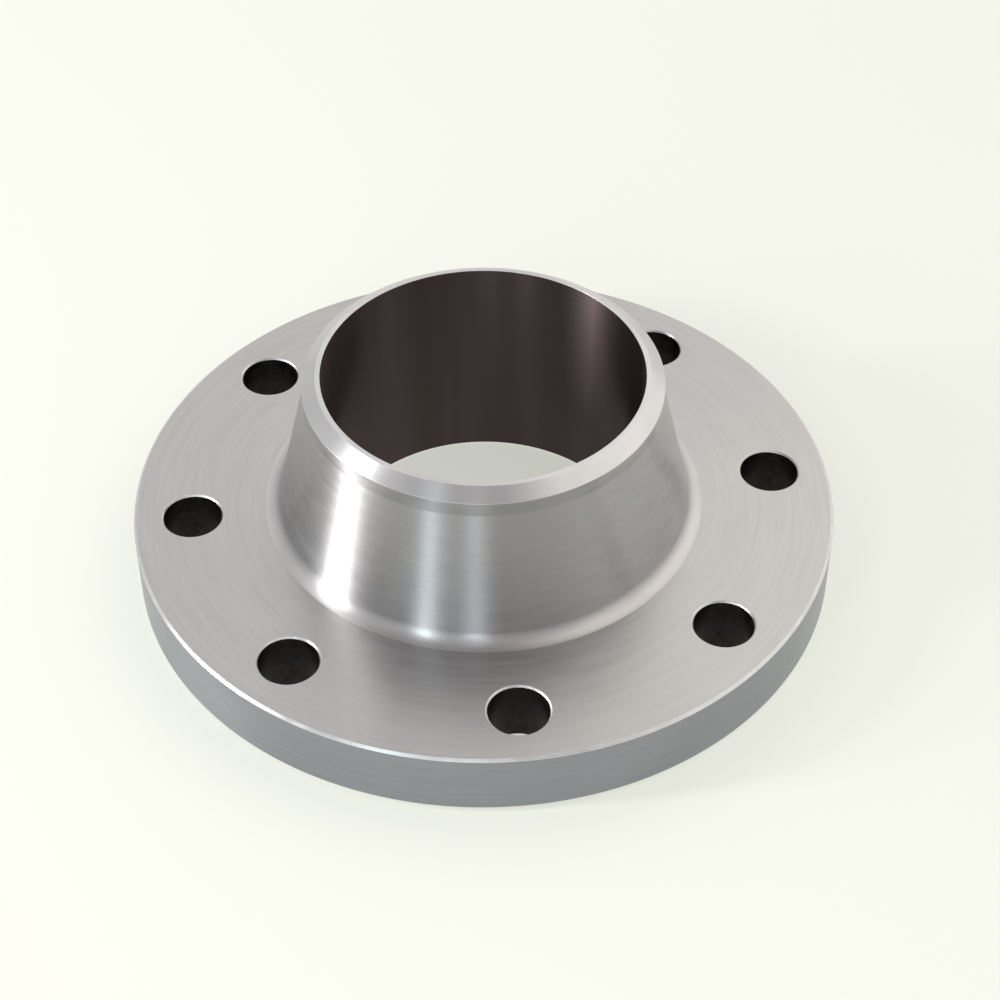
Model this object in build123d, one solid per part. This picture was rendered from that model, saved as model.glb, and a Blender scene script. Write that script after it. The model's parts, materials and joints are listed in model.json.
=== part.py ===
from build123d import *
import math
import os

# Weld neck pipe flange: NPS 4, Class 150, raised face, bored to suit schedule 40 pipe.
# One forging, turned all over and drilled. Sizes are in millimetres.
# Frame: the origin is the centre of the gasket face, and +Z runs up the bore to the weld end.

# Ring
RING_DIAMETER = 228.6
BACK_FACE_Z = 23.9  # ring thickness, with the raised face
RAISED_FACE_DIAMETER = 157.2
RAISED_FACE_HEIGHT = 1.6
RIM_EDGE_BREAK = 0.8
RAISED_FACE_EDGE_BREAK = 0.3

# Bolt holes, spaced so that they straddle the centre lines
BOLT_COUNT = 8
BOLT_CIRCLE_DIAMETER = 190.5
BOLT_HOLE_DIAMETER = 19.05
FIRST_BOLT_ANGLE = 180 / BOLT_COUNT
HOLE_EDGE_BREAK = 0.5

# Tapered hub
HUB_BASE_DIAMETER = 134.9  # where the taper would meet the back face with no fillet
HUB_FILLET_RADIUS = 5.0

# Weld end, prepared for a butt weld to the pipe
OVERALL_LENGTH = 76.2
PIPE_OUTSIDE_DIAMETER = 114.3
PIPE_WALL = 6.02
WELD_LAND = 1.6
BEVEL_ANGLE = 37.5
STRAIGHT_NECK_LENGTH = 5.0

# Bore
BORE_EDGE_BREAK = 0.5

NODE = "weld_neck_flange"

bore_radius = PIPE_OUTSIDE_DIAMETER / 2 - PIPE_WALL
neck_radius = PIPE_OUTSIDE_DIAMETER / 2
land_radius = bore_radius + WELD_LAND
ring_radius = RING_DIAMETER / 2
raised_face_radius = RAISED_FACE_DIAMETER / 2
hub_base_radius = HUB_BASE_DIAMETER / 2
hole_radius = BOLT_HOLE_DIAMETER / 2

# The bevel falls away from the land at 37.5 degrees to the end plane of the neck.
bevel_foot_z = OVERALL_LENGTH - (neck_radius - land_radius) * math.tan(math.radians(BEVEL_ANGLE))
taper_top_z = bevel_foot_z - STRAIGHT_NECK_LENGTH


def turned_section():
    """Half section of the forging as (radius, height), from the gasket face round to the bore."""
    corners = [
        (bore_radius, 0),
        (raised_face_radius, 0),
        (raised_face_radius, RAISED_FACE_HEIGHT),
        (ring_radius, RAISED_FACE_HEIGHT),
        (ring_radius, BACK_FACE_Z),
        (hub_base_radius, BACK_FACE_Z),
        (neck_radius, taper_top_z),
        (neck_radius, bevel_foot_z),
        (land_radius, OVERALL_LENGTH),
        (bore_radius, OVERALL_LENGTH),
    ]
    edge_breaks = {
        (ring_radius, RAISED_FACE_HEIGHT): RIM_EDGE_BREAK,
        (ring_radius, BACK_FACE_Z): RIM_EDGE_BREAK,
        (raised_face_radius, 0): RAISED_FACE_EDGE_BREAK,
        (bore_radius, 0): BORE_EDGE_BREAK,
    }
    section = make_face(Polyline(*corners, close=True))
    section = fillet(corner(section, (hub_base_radius, BACK_FACE_Z)), HUB_FILLET_RADIUS)
    for place, size in edge_breaks.items():
        section = chamfer(corner(section, place), size)
    return section


def corner(section, place):
    """The vertex of the flat section that lies at (radius, height)."""
    return section.vertices().sort_by_distance((*place, 0))[0]


def bolt_holes():
    """Drills for the bolt holes, each one flared at both mouths to break the edges."""
    depth = BACK_FACE_Z - RAISED_FACE_HEIGHT
    drill = Cylinder(hole_radius, depth)
    mouth_radius = hole_radius + HOLE_EDGE_BREAK
    flare = Cone(hole_radius, mouth_radius, HOLE_EDGE_BREAK)
    flare_z = (depth - HOLE_EDGE_BREAK) / 2
    cutter = drill + Pos(Z=flare_z) * flare + Pos(Z=-flare_z) * Rot(X=180) * flare
    middle = Pos(Z=(BACK_FACE_Z + RAISED_FACE_HEIGHT) / 2)
    circle = PolarLocations(BOLT_CIRCLE_DIAMETER / 2, BOLT_COUNT, start_angle=FIRST_BOLT_ANGLE)
    return [middle * place * cutter for place in circle]


def weld_neck_flange():
    forging = revolve(Plane.XZ * turned_section(), Axis.Z)
    return forging - bolt_holes()


os.makedirs("parts", exist_ok=True)
flange = weld_neck_flange()
flange.label = NODE
export_step(flange, f"parts/{NODE}.step")
print(NODE, "volume in cubic millimetres:", round(flange.volume))
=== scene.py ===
import json
from math import atan2, cos, pi, radians, sin, tan

import bpy
import numpy as np
from mathutils import Matrix, Vector


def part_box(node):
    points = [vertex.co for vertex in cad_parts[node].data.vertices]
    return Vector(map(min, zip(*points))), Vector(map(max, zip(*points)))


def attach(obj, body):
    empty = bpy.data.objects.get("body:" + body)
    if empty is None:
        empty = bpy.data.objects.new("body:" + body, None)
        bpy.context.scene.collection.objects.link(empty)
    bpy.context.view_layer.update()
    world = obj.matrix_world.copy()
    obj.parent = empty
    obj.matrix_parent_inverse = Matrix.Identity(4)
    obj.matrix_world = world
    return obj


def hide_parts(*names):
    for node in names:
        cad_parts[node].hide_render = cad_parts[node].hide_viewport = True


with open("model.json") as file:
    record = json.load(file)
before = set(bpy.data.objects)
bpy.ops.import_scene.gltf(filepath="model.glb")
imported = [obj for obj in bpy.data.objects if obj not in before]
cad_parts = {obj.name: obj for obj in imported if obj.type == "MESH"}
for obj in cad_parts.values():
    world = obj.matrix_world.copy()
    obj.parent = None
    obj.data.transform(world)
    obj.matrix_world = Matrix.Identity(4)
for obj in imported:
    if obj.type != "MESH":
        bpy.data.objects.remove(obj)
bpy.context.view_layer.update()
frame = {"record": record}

NODE = "weld_neck_flange"
MM = 0.001

# ---------------------------------------------------------------------------
# Sizes, in metres. The record's mounts give most of them.
# ---------------------------------------------------------------------------

mounts = {mount["name"]: mount for mount in frame["record"]["mounts"]}
low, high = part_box(NODE)

ring_radius = high.x
top_z = high.z
back_z = mounts["bolting_face"]["pos_m"][2]
underside_z = mounts["bolt_circle"]["pos_m"][2]
bolt_circle_radius = mounts["bolt_circle"]["dims"]["pcd_mm"] / 2 * MM
hole_radius = mounts["bolt_circle"]["dims"]["hole_r_mm"] * MM
hole_count = mounts["bolt_circle"]["dims"]["count"]
bore_radius = mounts["bore"]["dims"]["r_mm"] * MM
neck_radius = mounts["weld_end_outside"]["dims"]["r_mm"] * MM
neck_middle_z = mounts["weld_end_outside"]["pos_m"][2]
neck_half_length = mounts["weld_end_outside"]["dims"]["length_mm"] / 2 * MM
land_radius = 2 * mounts["weld_root_face"]["pos_m"][0] - bore_radius

RAISED_FACE_RADIUS = 78.6 * MM
HUB_BASE_RADIUS = 67.45 * MM
HUB_FILLET = 5.0 * MM
RIM_BREAK = 0.8 * MM
RAISED_FACE_BREAK = 0.3 * MM
HOLE_BREAK = 0.5 * MM
BORE_BREAK = 0.5 * MM

# Roundings of the mesh's corners
SOFT_CORNER = 0.25 * MM
CRISP_CORNER = 0.12 * MM
SHARP = 0.0

# Finish of the raised face: V grooves cut round the axis
GROOVE_PITCH = 0.5 * MM
GROOVE_DEPTH = 0.05 * MM

# Steps of the mesh
SECTOR_STEPS = 48  # round the ring, for each bolt hole
SIDE_STEPS = 16  # across the belt that holds the bolt holes
BELT_INNER = 82.0 * MM
BELT_OUTER = 108.5 * MM
HOLE_COLLAR = 0.4 * MM  # flat left round a hole's edge break
CORNER_STEPS = 3
FILLET_STEPS = 12

# Material slots of the mesh
FACED, TURNED, BEVELLED, RIM, BORED, DRILLED, SERRATED, EDGE = range(8)


# ---------------------------------------------------------------------------
# The forging's mesh
# ---------------------------------------------------------------------------

class Skin:
    """Quads that carry a normal at each corner. Corners at one place become one vertex."""

    def __init__(self):
        self.places, self.normals, self.materials = [], [], []

    def strip(self, rings, normals, material):
        """Joins two closed rings of points by quads."""
        for rows, into in ((rings, self.places), (normals, self.normals)):
            start, end = rows
            corners = [start, np.roll(start, -1, axis=0), np.roll(end, -1, axis=0), end]
            into.append(np.stack(corners, axis=1))
        self.materials += [material] * len(rings[0])

    def piece(self, name):
        places = np.concatenate(self.places).reshape(-1, 3)
        normals = np.concatenate(self.normals).reshape(-1, 3)
        keys = np.round(places, 8) + 0.0
        _, first, vertex = np.unique(keys, axis=0, return_index=True, return_inverse=True)
        mesh = bpy.data.meshes.new(name)
        mesh.from_pydata(places[first].tolist(), [], vertex.reshape(-1, 4).tolist())
        mesh.polygons.foreach_set("material_index", self.materials)
        mesh.shade_smooth()
        mesh.normals_split_custom_set(normals.tolist())
        made = bpy.data.objects.new(name, mesh)
        bpy.context.scene.collection.objects.link(made)
        return made


def outward(start, end):
    """Normal of a stretch of section whose metal is on its left."""
    along = (end - start) / np.linalg.norm(end - start)
    return np.array([along[1], -along[0]])


def corner_arc(before, here, after, rounding):
    """Points of a rounded corner, each with its normal."""
    normal_in, normal_out = outward(before, here), outward(here, after)
    turn = atan2(normal_in[0] * normal_out[1] - normal_in[1] * normal_out[0], normal_in @ normal_out)
    bulge = 1 if turn > 0 else -1
    into = (here - before) / np.linalg.norm(here - before)
    start = here - into * rounding * abs(tan(turn / 2))
    centre = start - normal_in * rounding * bulge
    steps = FILLET_STEPS if rounding == HUB_FILLET else CORNER_STEPS
    arc = []
    for angle in np.linspace(0, turn, steps + 1):
        rotation = np.array([[cos(angle), -sin(angle)], [sin(angle), cos(angle)]])
        normal = rotation @ normal_in
        arc.append((centre + normal * rounding * bulge, normal))
    return arc


def section_spans(corners):
    """Spans of a half section with rounded corners, with the metal on its left.

    A corner is (radius, height, rounding, material of the stretch after it), and a span is
    (start, end, normal at start, normal at end, material).
    """
    points = [np.array(corner[:2]) for corner in corners]
    spans = []
    place = points[0]
    for i in range(1, len(points)):
        rounding = corners[i][2]
        arc = []
        if i < len(points) - 1 and rounding > 0:
            arc = corner_arc(points[i - 1], points[i], points[i + 1], rounding)
        stretch_end = arc[0][0] if arc else points[i]
        normal = outward(points[i - 1], points[i])
        spans.append((place, stretch_end, normal, normal, corners[i - 1][3]))
        arc_material = TURNED if rounding == HUB_FILLET else EDGE
        for (a, normal_a), (b, normal_b) in zip(arc, arc[1:]):
            spans.append((a, b, normal_a, normal_b, arc_material))
        place = arc[-1][0] if arc else points[i]
    return spans


def lathe(skin, spans, directions, centre=(0, 0)):
    """Turns a section about a vertical axis. directions are unit (x, y) rows, anticlockwise."""
    def ring(value, middle=(0, 0)):
        flat = directions * value[0] + middle
        return np.column_stack([flat, np.full(len(flat), value[1])])

    for start, end, normal_start, normal_end, material in spans:
        rings = (ring(start, centre), ring(end, centre))
        normals = (ring(normal_start), ring(normal_end))
        skin.strip(rings, normals, material)


def polar(radius, angle):
    """A flat (x, y) point."""
    return np.array([radius * cos(angle), radius * sin(angle)])


def sector_outline(index):
    """Edge of one bolt hole's sector of the belt, anticlockwise."""
    step = 2 * pi / (hole_count * SECTOR_STEPS)
    first = index * SECTOR_STEPS
    arc = [(first + i) * step for i in range(SECTOR_STEPS + 1)]
    across = np.linspace(BELT_INNER, BELT_OUTER, SIDE_STEPS + 1)
    outline = [polar(BELT_OUTER, angle) for angle in arc]
    outline += [polar(radius, arc[-1]) for radius in across[-2:0:-1]]
    outline += [polar(BELT_INNER, angle) for angle in reversed(arc)]
    outline += [polar(radius, arc[0]) for radius in across[1:-1]]
    return np.array(outline)


def belt_sector(skin, index):
    """One bolt hole with the flat metal round it, on both faces of the ring."""
    centre = polar(bolt_circle_radius, (index + 0.5) * 2 * pi / hole_count)
    outline = sector_outline(index)
    directions = outline - centre
    directions /= np.linalg.norm(directions, axis=1)[:, None]
    mouth = hole_radius + HOLE_BREAK
    collar = mouth + HOLE_COLLAR
    wall = [
        (collar, back_z, SHARP, FACED),
        (mouth, back_z, SOFT_CORNER, EDGE),
        (hole_radius, back_z - HOLE_BREAK, SOFT_CORNER, DRILLED),
        (hole_radius, underside_z + HOLE_BREAK, SOFT_CORNER, EDGE),
        (mouth, underside_z, SOFT_CORNER, FACED),
        (collar, underside_z, SHARP, FACED),
    ]
    lathe(skin, section_spans(wall), directions, centre)
    inner = centre + directions * collar
    for height, facing in ((back_z, 1), (underside_z, -1)):
        rings = [np.column_stack([flat, np.full(len(flat), height)]) for flat in (outline, inner)]
        normals = np.tile([0, 0, facing], (len(outline), 1))
        skin.strip(rings[::facing], (normals, normals), FACED)


def groove_corners():
    """The raised face's grooves, from the bore outwards."""
    start = bore_radius + BORE_BREAK + GROOVE_PITCH
    end = RAISED_FACE_RADIUS - RAISED_FACE_BREAK - GROOVE_PITCH
    corners = []
    for i in range(int((end - start) / GROOVE_PITCH)):
        radius = start + i * GROOVE_PITCH
        corners.append((radius, 0, SHARP, SERRATED))
        corners.append((radius + GROOVE_PITCH / 2, GROOVE_DEPTH, SHARP, SERRATED))
    return corners + [(start + len(corners) / 2 * GROOVE_PITCH, 0, SHARP, SERRATED)]


def make_forging():
    """The whole flange: two turned stretches of section joined by the belt of bolt holes."""
    taper_top_z = neck_middle_z - neck_half_length
    bevel_foot_z = neck_middle_z + neck_half_length
    rim = [
        (BELT_OUTER, underside_z, SHARP, FACED),
        (ring_radius - RIM_BREAK, underside_z, SOFT_CORNER, EDGE),
        (ring_radius, underside_z + RIM_BREAK, SOFT_CORNER, RIM),
        (ring_radius, back_z - RIM_BREAK, SOFT_CORNER, EDGE),
        (ring_radius - RIM_BREAK, back_z, SOFT_CORNER, FACED),
        (BELT_OUTER, back_z, SHARP, FACED),
    ]
    hub = [
        (BELT_INNER, back_z, SHARP, FACED),
        (HUB_BASE_RADIUS, back_z, HUB_FILLET, TURNED),
        (neck_radius, taper_top_z, CRISP_CORNER, TURNED),
        (neck_radius, bevel_foot_z, CRISP_CORNER, BEVELLED),
        (land_radius, top_z, CRISP_CORNER, BEVELLED),
        (bore_radius, top_z, CRISP_CORNER, BORED),
        (bore_radius, BORE_BREAK, CRISP_CORNER, EDGE),
        (bore_radius + BORE_BREAK, 0, CRISP_CORNER, SERRATED),
        *groove_corners(),
        (RAISED_FACE_RADIUS - RAISED_FACE_BREAK, 0, CRISP_CORNER, EDGE),
        (RAISED_FACE_RADIUS, RAISED_FACE_BREAK, CRISP_CORNER, FACED),
        (RAISED_FACE_RADIUS, underside_z, CRISP_CORNER, FACED),
        (BELT_INNER, underside_z, SHARP, FACED),
    ]
    count = hole_count * SECTOR_STEPS
    directions = np.array([polar(1, i * 2 * pi / count) for i in range(count)])
    skin = Skin()
    lathe(skin, section_spans(rim), directions)
    lathe(skin, section_spans(hub), directions)
    for index in range(hole_count):
        belt_sector(skin, index)
    return skin.piece("forging")


# ---------------------------------------------------------------------------
# Metals
# ---------------------------------------------------------------------------

NOISE_MIDDLE = (0.3, 0.7)  # span that holds nearly all of a noise's values
FILLET_HIGHLIGHT_HEIGHTS = (0.6 * MM, 3.6 * MM)  # heights over the ring between which the painted highlight at the fillet's foot fades, so the fillet darkens upwards
QUARTER_TURN = 0.25


class Paint:
    """A metal whose colour, roughness and bump come from nodes."""

    def __init__(self, name, anisotropy=0.0):
        self.material = bpy.data.materials.new(name)
        self.material.use_nodes = True
        self.tree = self.material.node_tree
        self.shader = self.tree.nodes["Principled BSDF"]
        self.shader.inputs["Metallic"].default_value = 1.0
        self.shader.inputs["Anisotropic"].default_value = anisotropy
        self.place = self.node("TexCoord").outputs["Object"]
        self.flat = self.flattened()
        self.across = self.axis_distance()
        self.height = self.split(self.place, 2)

    def node(self, kind, **settings):
        made = self.tree.nodes.new("ShaderNode" + kind)
        for name, value in settings.items():
            setattr(made, name, value)
        return made

    def link(self, output, socket):
        self.tree.links.new(output, socket)

    def split(self, vector, axis):
        made = self.node("SeparateXYZ")
        self.link(vector, made.inputs[0])
        return made.outputs[axis]

    def flattened(self):
        """The place on the surface, seen along the axis."""
        flat = self.node("VectorMath", operation="MULTIPLY")
        flat.inputs[1].default_value = (1, 1, 0)
        self.link(self.place, flat.inputs[0])
        return flat.outputs[0]

    def axis_distance(self):
        length = self.node("VectorMath", operation="LENGTH")
        self.link(self.flat, length.inputs[0])
        return length.outputs["Value"]

    def grain(self, size, detail=2.0, stretch=(1, 1, 1)):
        """Noise from 0 to 1 in three dimensions, with features about size across."""
        scaled = self.node("VectorMath", operation="MULTIPLY")
        scaled.inputs[1].default_value = [s / size for s in stretch]
        self.link(self.place, scaled.inputs[0])
        noise = self.node("TexNoise")
        noise.inputs["Scale"].default_value = 1.0
        noise.inputs["Detail"].default_value = detail
        self.link(scaled.outputs[0], noise.inputs["Vector"])
        return noise.outputs["Fac"]

    def lines(self, along, pitch, detail=2.0):
        """Tool marks: noise that changes only with one distance."""
        noise = self.node("TexNoise", noise_dimensions="1D")
        noise.inputs["Scale"].default_value = 1 / pitch
        noise.inputs["Detail"].default_value = detail
        self.link(along, noise.inputs["W"])
        return noise.outputs["Fac"]

    def swirls(self, along, pitch, turn):
        """Tool marks that come and go round the axis, over about turn radians."""
        direction = self.node("VectorMath", operation="NORMALIZE")
        self.link(self.flat, direction.inputs[0])
        scaled = self.node("VectorMath", operation="SCALE")
        scaled.inputs["Scale"].default_value = 1 / turn
        self.link(direction.outputs[0], scaled.inputs[0])
        step = self.node("Math", operation="DIVIDE")
        step.inputs[1].default_value = pitch
        self.link(along, step.inputs[0])
        place = self.node("CombineXYZ")
        self.link(self.split(scaled.outputs[0], 0), place.inputs[0])
        self.link(self.split(scaled.outputs[0], 1), place.inputs[1])
        self.link(step.outputs[0], place.inputs[2])
        noise = self.node("TexNoise")
        noise.inputs["Scale"].default_value = 1.0
        noise.inputs["Detail"].default_value = 2.0
        self.link(place.outputs[0], noise.inputs["Vector"])
        return noise.outputs["Fac"]

    def remap(self, value, source, target):
        """Maps one span of numbers onto another. A span is (start, end)."""
        made = self.node("MapRange")
        made.inputs["From Min"].default_value = source[0]
        made.inputs["From Max"].default_value = source[1]
        made.inputs["To Min"].default_value = target[0]
        made.inputs["To Max"].default_value = target[1]
        self.link(value, made.inputs["Value"])
        return made.outputs["Result"]

    def spread(self, noise, low, high):
        """Maps the middle of a noise onto low to high."""
        return self.remap(noise, NOISE_MIDDLE, (low, high))

    def total(self, *values):
        result = values[0]
        for value in values[1:]:
            made = self.node("Math", operation="ADD")
            self.link(result, made.inputs[0])
            self.link(value, made.inputs[1])
            result = made.outputs[0]
        return result

    def tint(self, noise, dark, light):
        """Colours by the middle of a noise, from dark to light."""
        ramp = self.node("ValToRGB")
        tones = ramp.color_ramp.elements
        tones[0].position = NOISE_MIDDLE[0]
        tones[1].position = NOISE_MIDDLE[1]
        tones[0].color = (*dark, 1)
        tones[1].color = (*light, 1)
        self.link(noise, ramp.inputs["Fac"])
        self.link(ramp.outputs["Color"], self.shader.inputs["Base Color"])

    def cover(self, amount, colour):
        """Lays a colour over the tint, by an amount from 0 to 1."""
        mix = self.node("Mix", data_type="RGBA")
        mix.inputs["B"].default_value = (*colour, 1)
        base = self.shader.inputs["Base Color"]
        self.link(base.links[0].from_socket, mix.inputs["A"])
        self.link(amount, mix.inputs["Factor"])
        self.link(mix.outputs["Result"], base)

    def roughen(self, value):
        self.link(value, self.shader.inputs["Roughness"])

    def bump(self, value, depth):
        made = self.node("Bump")
        made.inputs["Distance"].default_value = depth
        made.inputs["Strength"].default_value = 1.0
        self.link(value, made.inputs["Height"])
        self.link(made.outputs["Normal"], self.shader.inputs["Normal"])

    def across_the_lay(self):
        """Circular tool marks spread reflections across themselves."""
        tangent = self.node("Tangent", direction_type="RADIAL", axis="Z")
        self.shader.inputs["Anisotropic Rotation"].default_value = QUARTER_TURN
        self.link(tangent.outputs[0], self.shader.inputs["Tangent"])


def faced_metal():
    paint = Paint("faced_steel", anisotropy=0.6)
    paint.across_the_lay()
    marks = paint.lines(paint.across, 0.7 * MM, 2)
    swirls = paint.swirls(paint.across, 1.6 * MM, 0.3)
    cloud = paint.grain(18 * MM, 3)
    paint.tint(swirls, (0.470, 0.463, 0.458), (0.515, 0.508, 0.502))
    paint.roughen(paint.total(paint.spread(swirls, 0.30, 0.35), paint.spread(cloud, -0.02, 0.02)))
    paint.bump(marks, 0.004 * MM)
    return paint.material


def turned_metal():
    """The hub, with a painted highlight: its colour brightens towards the foot of its fillet."""
    paint = Paint("turned_steel", anisotropy=0.95)
    paint.across_the_lay()
    marks = paint.lines(paint.height, 0.9 * MM, 3)
    swirls = paint.swirls(paint.height, 2.0 * MM, 0.2)
    cloud = paint.grain(25 * MM, 2)
    highlight_heights = (back_z + FILLET_HIGHLIGHT_HEIGHTS[0], back_z + FILLET_HIGHLIGHT_HEIGHTS[1])
    paint.tint(swirls, (0.385, 0.378, 0.386), (0.430, 0.422, 0.427))
    # Painted highlight: a light colour covers the fillet's foot and fades out upwards
    paint.cover(paint.remap(paint.height, highlight_heights, (1, 0)), (0.620, 0.612, 0.605))
    paint.roughen(paint.total(paint.spread(swirls, 0.34, 0.42), paint.spread(cloud, -0.02, 0.02)))
    paint.bump(marks, 0.010 * MM)
    return paint.material


def bevelled_metal():
    paint = Paint("bevelled_steel", anisotropy=0.8)
    paint.across_the_lay()
    marks = paint.lines(paint.across, 0.5 * MM, 2)
    cloud = paint.grain(15 * MM, 2)
    paint.tint(cloud, (0.60, 0.60, 0.60), (0.67, 0.66, 0.66))
    paint.roughen(paint.spread(marks, 0.30, 0.36))
    paint.bump(marks, 0.006 * MM)
    return paint.material


def rim_metal():
    paint = Paint("rim_steel", anisotropy=0.7)
    paint.across_the_lay()
    marks = paint.lines(paint.height, 1.0 * MM, 3)
    swirls = paint.swirls(paint.height, 1.5 * MM, 0.25)
    cloud = paint.grain(20 * MM, 3)
    paint.tint(swirls, (0.285, 0.292, 0.325), (0.312, 0.319, 0.350))
    paint.roughen(paint.total(paint.spread(swirls, 0.29, 0.37), paint.spread(cloud, -0.03, 0.03)))
    paint.bump(marks, 0.012 * MM)
    return paint.material


def bored_metal():
    # Painted shade: the bore's steel is coloured near black and brownish, so that the bore stays
    # dark; faint vertical streaks vary that tone
    paint = Paint("bored_steel", anisotropy=0.9)
    paint.across_the_lay()
    marks = paint.lines(paint.height, 1.0 * MM, 3)
    streaks = paint.grain(16 * MM, 2, stretch=(1, 1, 0.06))
    paint.tint(streaks, (0.078, 0.053, 0.054), (0.118, 0.090, 0.092))
    paint.roughen(paint.total(paint.spread(marks, 0.40, 0.46), paint.spread(streaks, -0.02, 0.02)))
    paint.bump(marks, 0.012 * MM)
    return paint.material


def drilled_metal():
    # Painted shade: the bolt holes' walls are coloured near black, so that the holes look dark
    paint = Paint("drilled_steel")
    marks = paint.lines(paint.height, 0.6 * MM, 2)
    cloud = paint.grain(3 * MM, 3)
    paint.tint(cloud, (0.018, 0.015, 0.015), (0.045, 0.038, 0.038))
    paint.roughen(paint.spread(cloud, 0.35, 0.50))
    paint.bump(marks, 0.03 * MM)
    return paint.material


def serrated_metal():
    paint = Paint("serrated_steel", anisotropy=0.4)
    paint.across_the_lay()
    swirls = paint.swirls(paint.across, 2.5 * MM, 0.4)
    paint.tint(swirls, (0.50, 0.50, 0.51), (0.60, 0.60, 0.60))
    paint.roughen(paint.spread(swirls, 0.26, 0.34))
    return paint.material


def edge_metal():
    # Partly real and partly painted highlight: edge breaks are bright fresh metal, and their light
    # colour also stands in for the thin highlights along every rounded corner
    paint = Paint("edge_steel", anisotropy=0.7)
    paint.across_the_lay()
    cloud = paint.grain(6 * MM, 2)
    paint.tint(cloud, (0.62, 0.62, 0.62), (0.74, 0.74, 0.74))
    paint.roughen(paint.spread(cloud, 0.40, 0.48))
    return paint.material


# In the order of the mesh's material slots
METALS = (
    faced_metal,
    turned_metal,
    bevelled_metal,
    rim_metal,
    bored_metal,
    drilled_metal,
    serrated_metal,
    edge_metal,
)


# ---------------------------------------------------------------------------
# Camera, floor and lights
# ---------------------------------------------------------------------------

VIEW_AZIMUTH = radians(15.94)
VIEW_ELEVATION = radians(43.4)
VIEW_DISTANCE = 6.47 * ring_radius
VIEW_LENS = 81.0  # millimetres, on a 36 mm sensor
AIM_RIGHT = 0.046 * ring_radius
AIM_DOWN = 0.021 * ring_radius
SENSOR_WIDTH = 36.0  # millimetres
NEAREST_SEEN = 0.01

# The floor glows a little, so that it stays pale in the flange's shade
FLOOR_HALF_WIDTH = 6.0
FLOOR_COLOUR = (0.41, 0.42, 0.38, 1)
FLOOR_GLOW_COLOUR = (0.92, 0.94, 0.85, 1)
FLOOR_GLOW = 0.55
FLOOR_ROUGHNESS = 0.9

# Softboxes stand this far from the flange, in metres
SOFTBOX_DISTANCE = 1.3

COOL_WHITE = (0.80, 0.94, 1.0)
SIDE_WHITE = (0.84, 0.92, 1.0)
NEUTRAL_WHITE = (1, 1, 1)

# Brightness and tint of the room's walls
PALE_WALL = (0.68, 0.68, 0.69)
RIGHT_WALL = (1.13, 1.09, 1.05)
BACK_WALL = (0.92, 0.91, 0.91)
BACK_CORNER = (1.36, 1.31, 1.26)
DIM_WALL = (0.60, 0.57, 0.57)
CEILING = (0.17, 0.12, 0.11)


def axes_of_view(azimuth, elevation):
    """Right, up and back of a camera that looks at the axis from there."""
    back = Vector((sin(azimuth) * cos(elevation), -cos(azimuth) * cos(elevation), sin(elevation)))
    right = Vector((cos(azimuth), sin(azimuth), 0))
    return right, back.cross(right), back


def facing(place, right, up, back):
    """Placement of something that looks away from back."""
    turn = Matrix((right, up, back)).transposed().to_4x4()
    return Matrix.Translation(place) @ turn


def add_camera():
    right, up, back = axes_of_view(VIEW_AZIMUTH, VIEW_ELEVATION)
    aim = Vector((0, 0, back_z)) + right * AIM_RIGHT - up * AIM_DOWN
    camera = bpy.data.objects.new("camera", bpy.data.cameras.new("camera"))
    camera.data.lens = VIEW_LENS
    camera.data.sensor_width = SENSOR_WIDTH
    camera.data.clip_start = NEAREST_SEEN
    camera.matrix_world = facing(aim + back * VIEW_DISTANCE, right, up, back)
    bpy.context.scene.collection.objects.link(camera)
    bpy.context.scene.camera = camera


def add_softbox(name, azimuth, elevation, size, watts, colour):
    """A soft light that looks at the flange. Angles are degrees, azimuth from the camera's."""
    right, up, back = axes_of_view(VIEW_AZIMUTH + radians(azimuth), radians(elevation))
    lamp = bpy.data.lights.new(name, "AREA")
    lamp.shape = "RECTANGLE"
    lamp.size, lamp.size_y = size
    lamp.energy = watts
    lamp.color = colour
    made = bpy.data.objects.new(name, lamp)
    made.matrix_world = facing(Vector((0, 0, back_z)) + back * SOFTBOX_DISTANCE, right, up, back)
    made.visible_camera = False
    bpy.context.scene.collection.objects.link(made)


def add_floor():
    half = FLOOR_HALF_WIDTH
    mesh = bpy.data.meshes.new("floor")
    corners = [(-half, -half, low.z), (half, -half, low.z), (half, half, low.z), (-half, half, low.z)]
    mesh.from_pydata(corners, [], [(0, 1, 2, 3)])
    floor = bpy.data.objects.new("floor", mesh)
    bpy.context.scene.collection.objects.link(floor)
    material = bpy.data.materials.new("pale_floor")
    material.use_nodes = True
    shader = material.node_tree.nodes["Principled BSDF"]
    shader.inputs["Base Color"].default_value = FLOOR_COLOUR
    shader.inputs["Emission Color"].default_value = FLOOR_GLOW_COLOUR
    shader.inputs["Emission Strength"].default_value = FLOOR_GLOW
    shader.inputs["Roughness"].default_value = FLOOR_ROUGHNESS
    mesh.materials.append(material)


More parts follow.
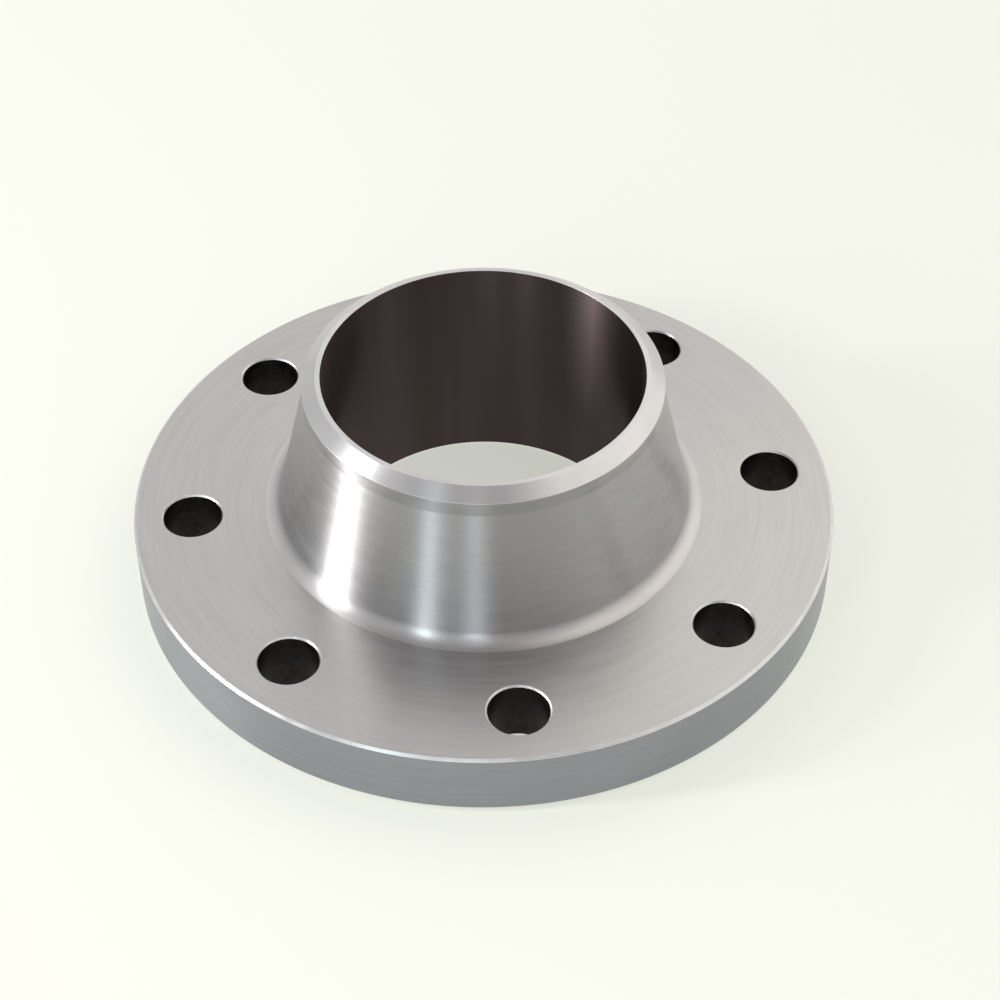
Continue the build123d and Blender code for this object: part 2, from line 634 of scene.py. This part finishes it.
def add_sky():
    """A pale room with a dark ceiling, brighter to the right and behind, dimmer low on the right."""
    world = bpy.data.worlds.new("studio")
    world.use_nodes = True
    bpy.context.scene.world = world
    nodes, links = world.node_tree.nodes, world.node_tree.links
    backdrop = nodes["Background"]
    place = nodes.new("ShaderNodeTexCoord")

    def patch(below, azimuth, elevation, edge, core, colour):
        """Lays a soft round patch of colour over what is below it.

        Angles are degrees, azimuth from the camera's. Edge and core are cosines of the angles
        from the patch's middle where it starts and where it is full.
        """
        towards = nodes.new("ShaderNodeVectorMath")
        towards.operation = "DOT_PRODUCT"
        middle = axes_of_view(VIEW_AZIMUTH + radians(azimuth), radians(elevation))[2]
        towards.inputs[1].default_value = middle
        links.new(place.outputs["Generated"], towards.inputs[0])
        cover = nodes.new("ShaderNodeMapRange")
        cover.interpolation_type = "SMOOTHSTEP"
        cover.inputs["From Min"].default_value = edge
        cover.inputs["From Max"].default_value = core
        links.new(towards.outputs["Value"], cover.inputs["Value"])
        mix = nodes.new("ShaderNodeMix")
        mix.data_type = "RGBA"
        mix.inputs["A"].default_value = (*PALE_WALL, 1)
        if below is not None:
            links.new(below, mix.inputs["A"])
        mix.inputs["B"].default_value = (*colour, 1)
        links.new(cover.outputs["Result"], mix.inputs["Factor"])
        return mix.outputs["Result"]

    colour = patch(None, 30, 15, 0.75, 0.95, DIM_WALL)
    colour = patch(colour, -8, 84, 0.82, 0.96, CEILING)
    colour = patch(colour, 100, 36, 0.50, 0.90, RIGHT_WALL)
    colour = patch(colour, 180, 46, 0.80, 0.97, BACK_WALL)
    colour = patch(colour, 140, 45, 0.80, 0.97, BACK_CORNER)
    links.new(colour, backdrop.inputs["Color"])


def main():
    forging = make_forging()
    for metal in METALS:
        forging.data.materials.append(metal())
    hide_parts(NODE)
    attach(forging, "root")
    add_camera()
    add_floor()
    add_sky()
    add_softbox("key", -77, 16, (0.14, 0.80), 12.5, NEUTRAL_WHITE)
    add_softbox("window", -28, 20, (0.11, 0.90), 2.4, COOL_WHITE)
    add_softbox("side_window", -4, 20, (0.16, 0.90), 1.3, SIDE_WHITE)
    bpy.context.scene.view_settings.view_transform = "Standard"


main()
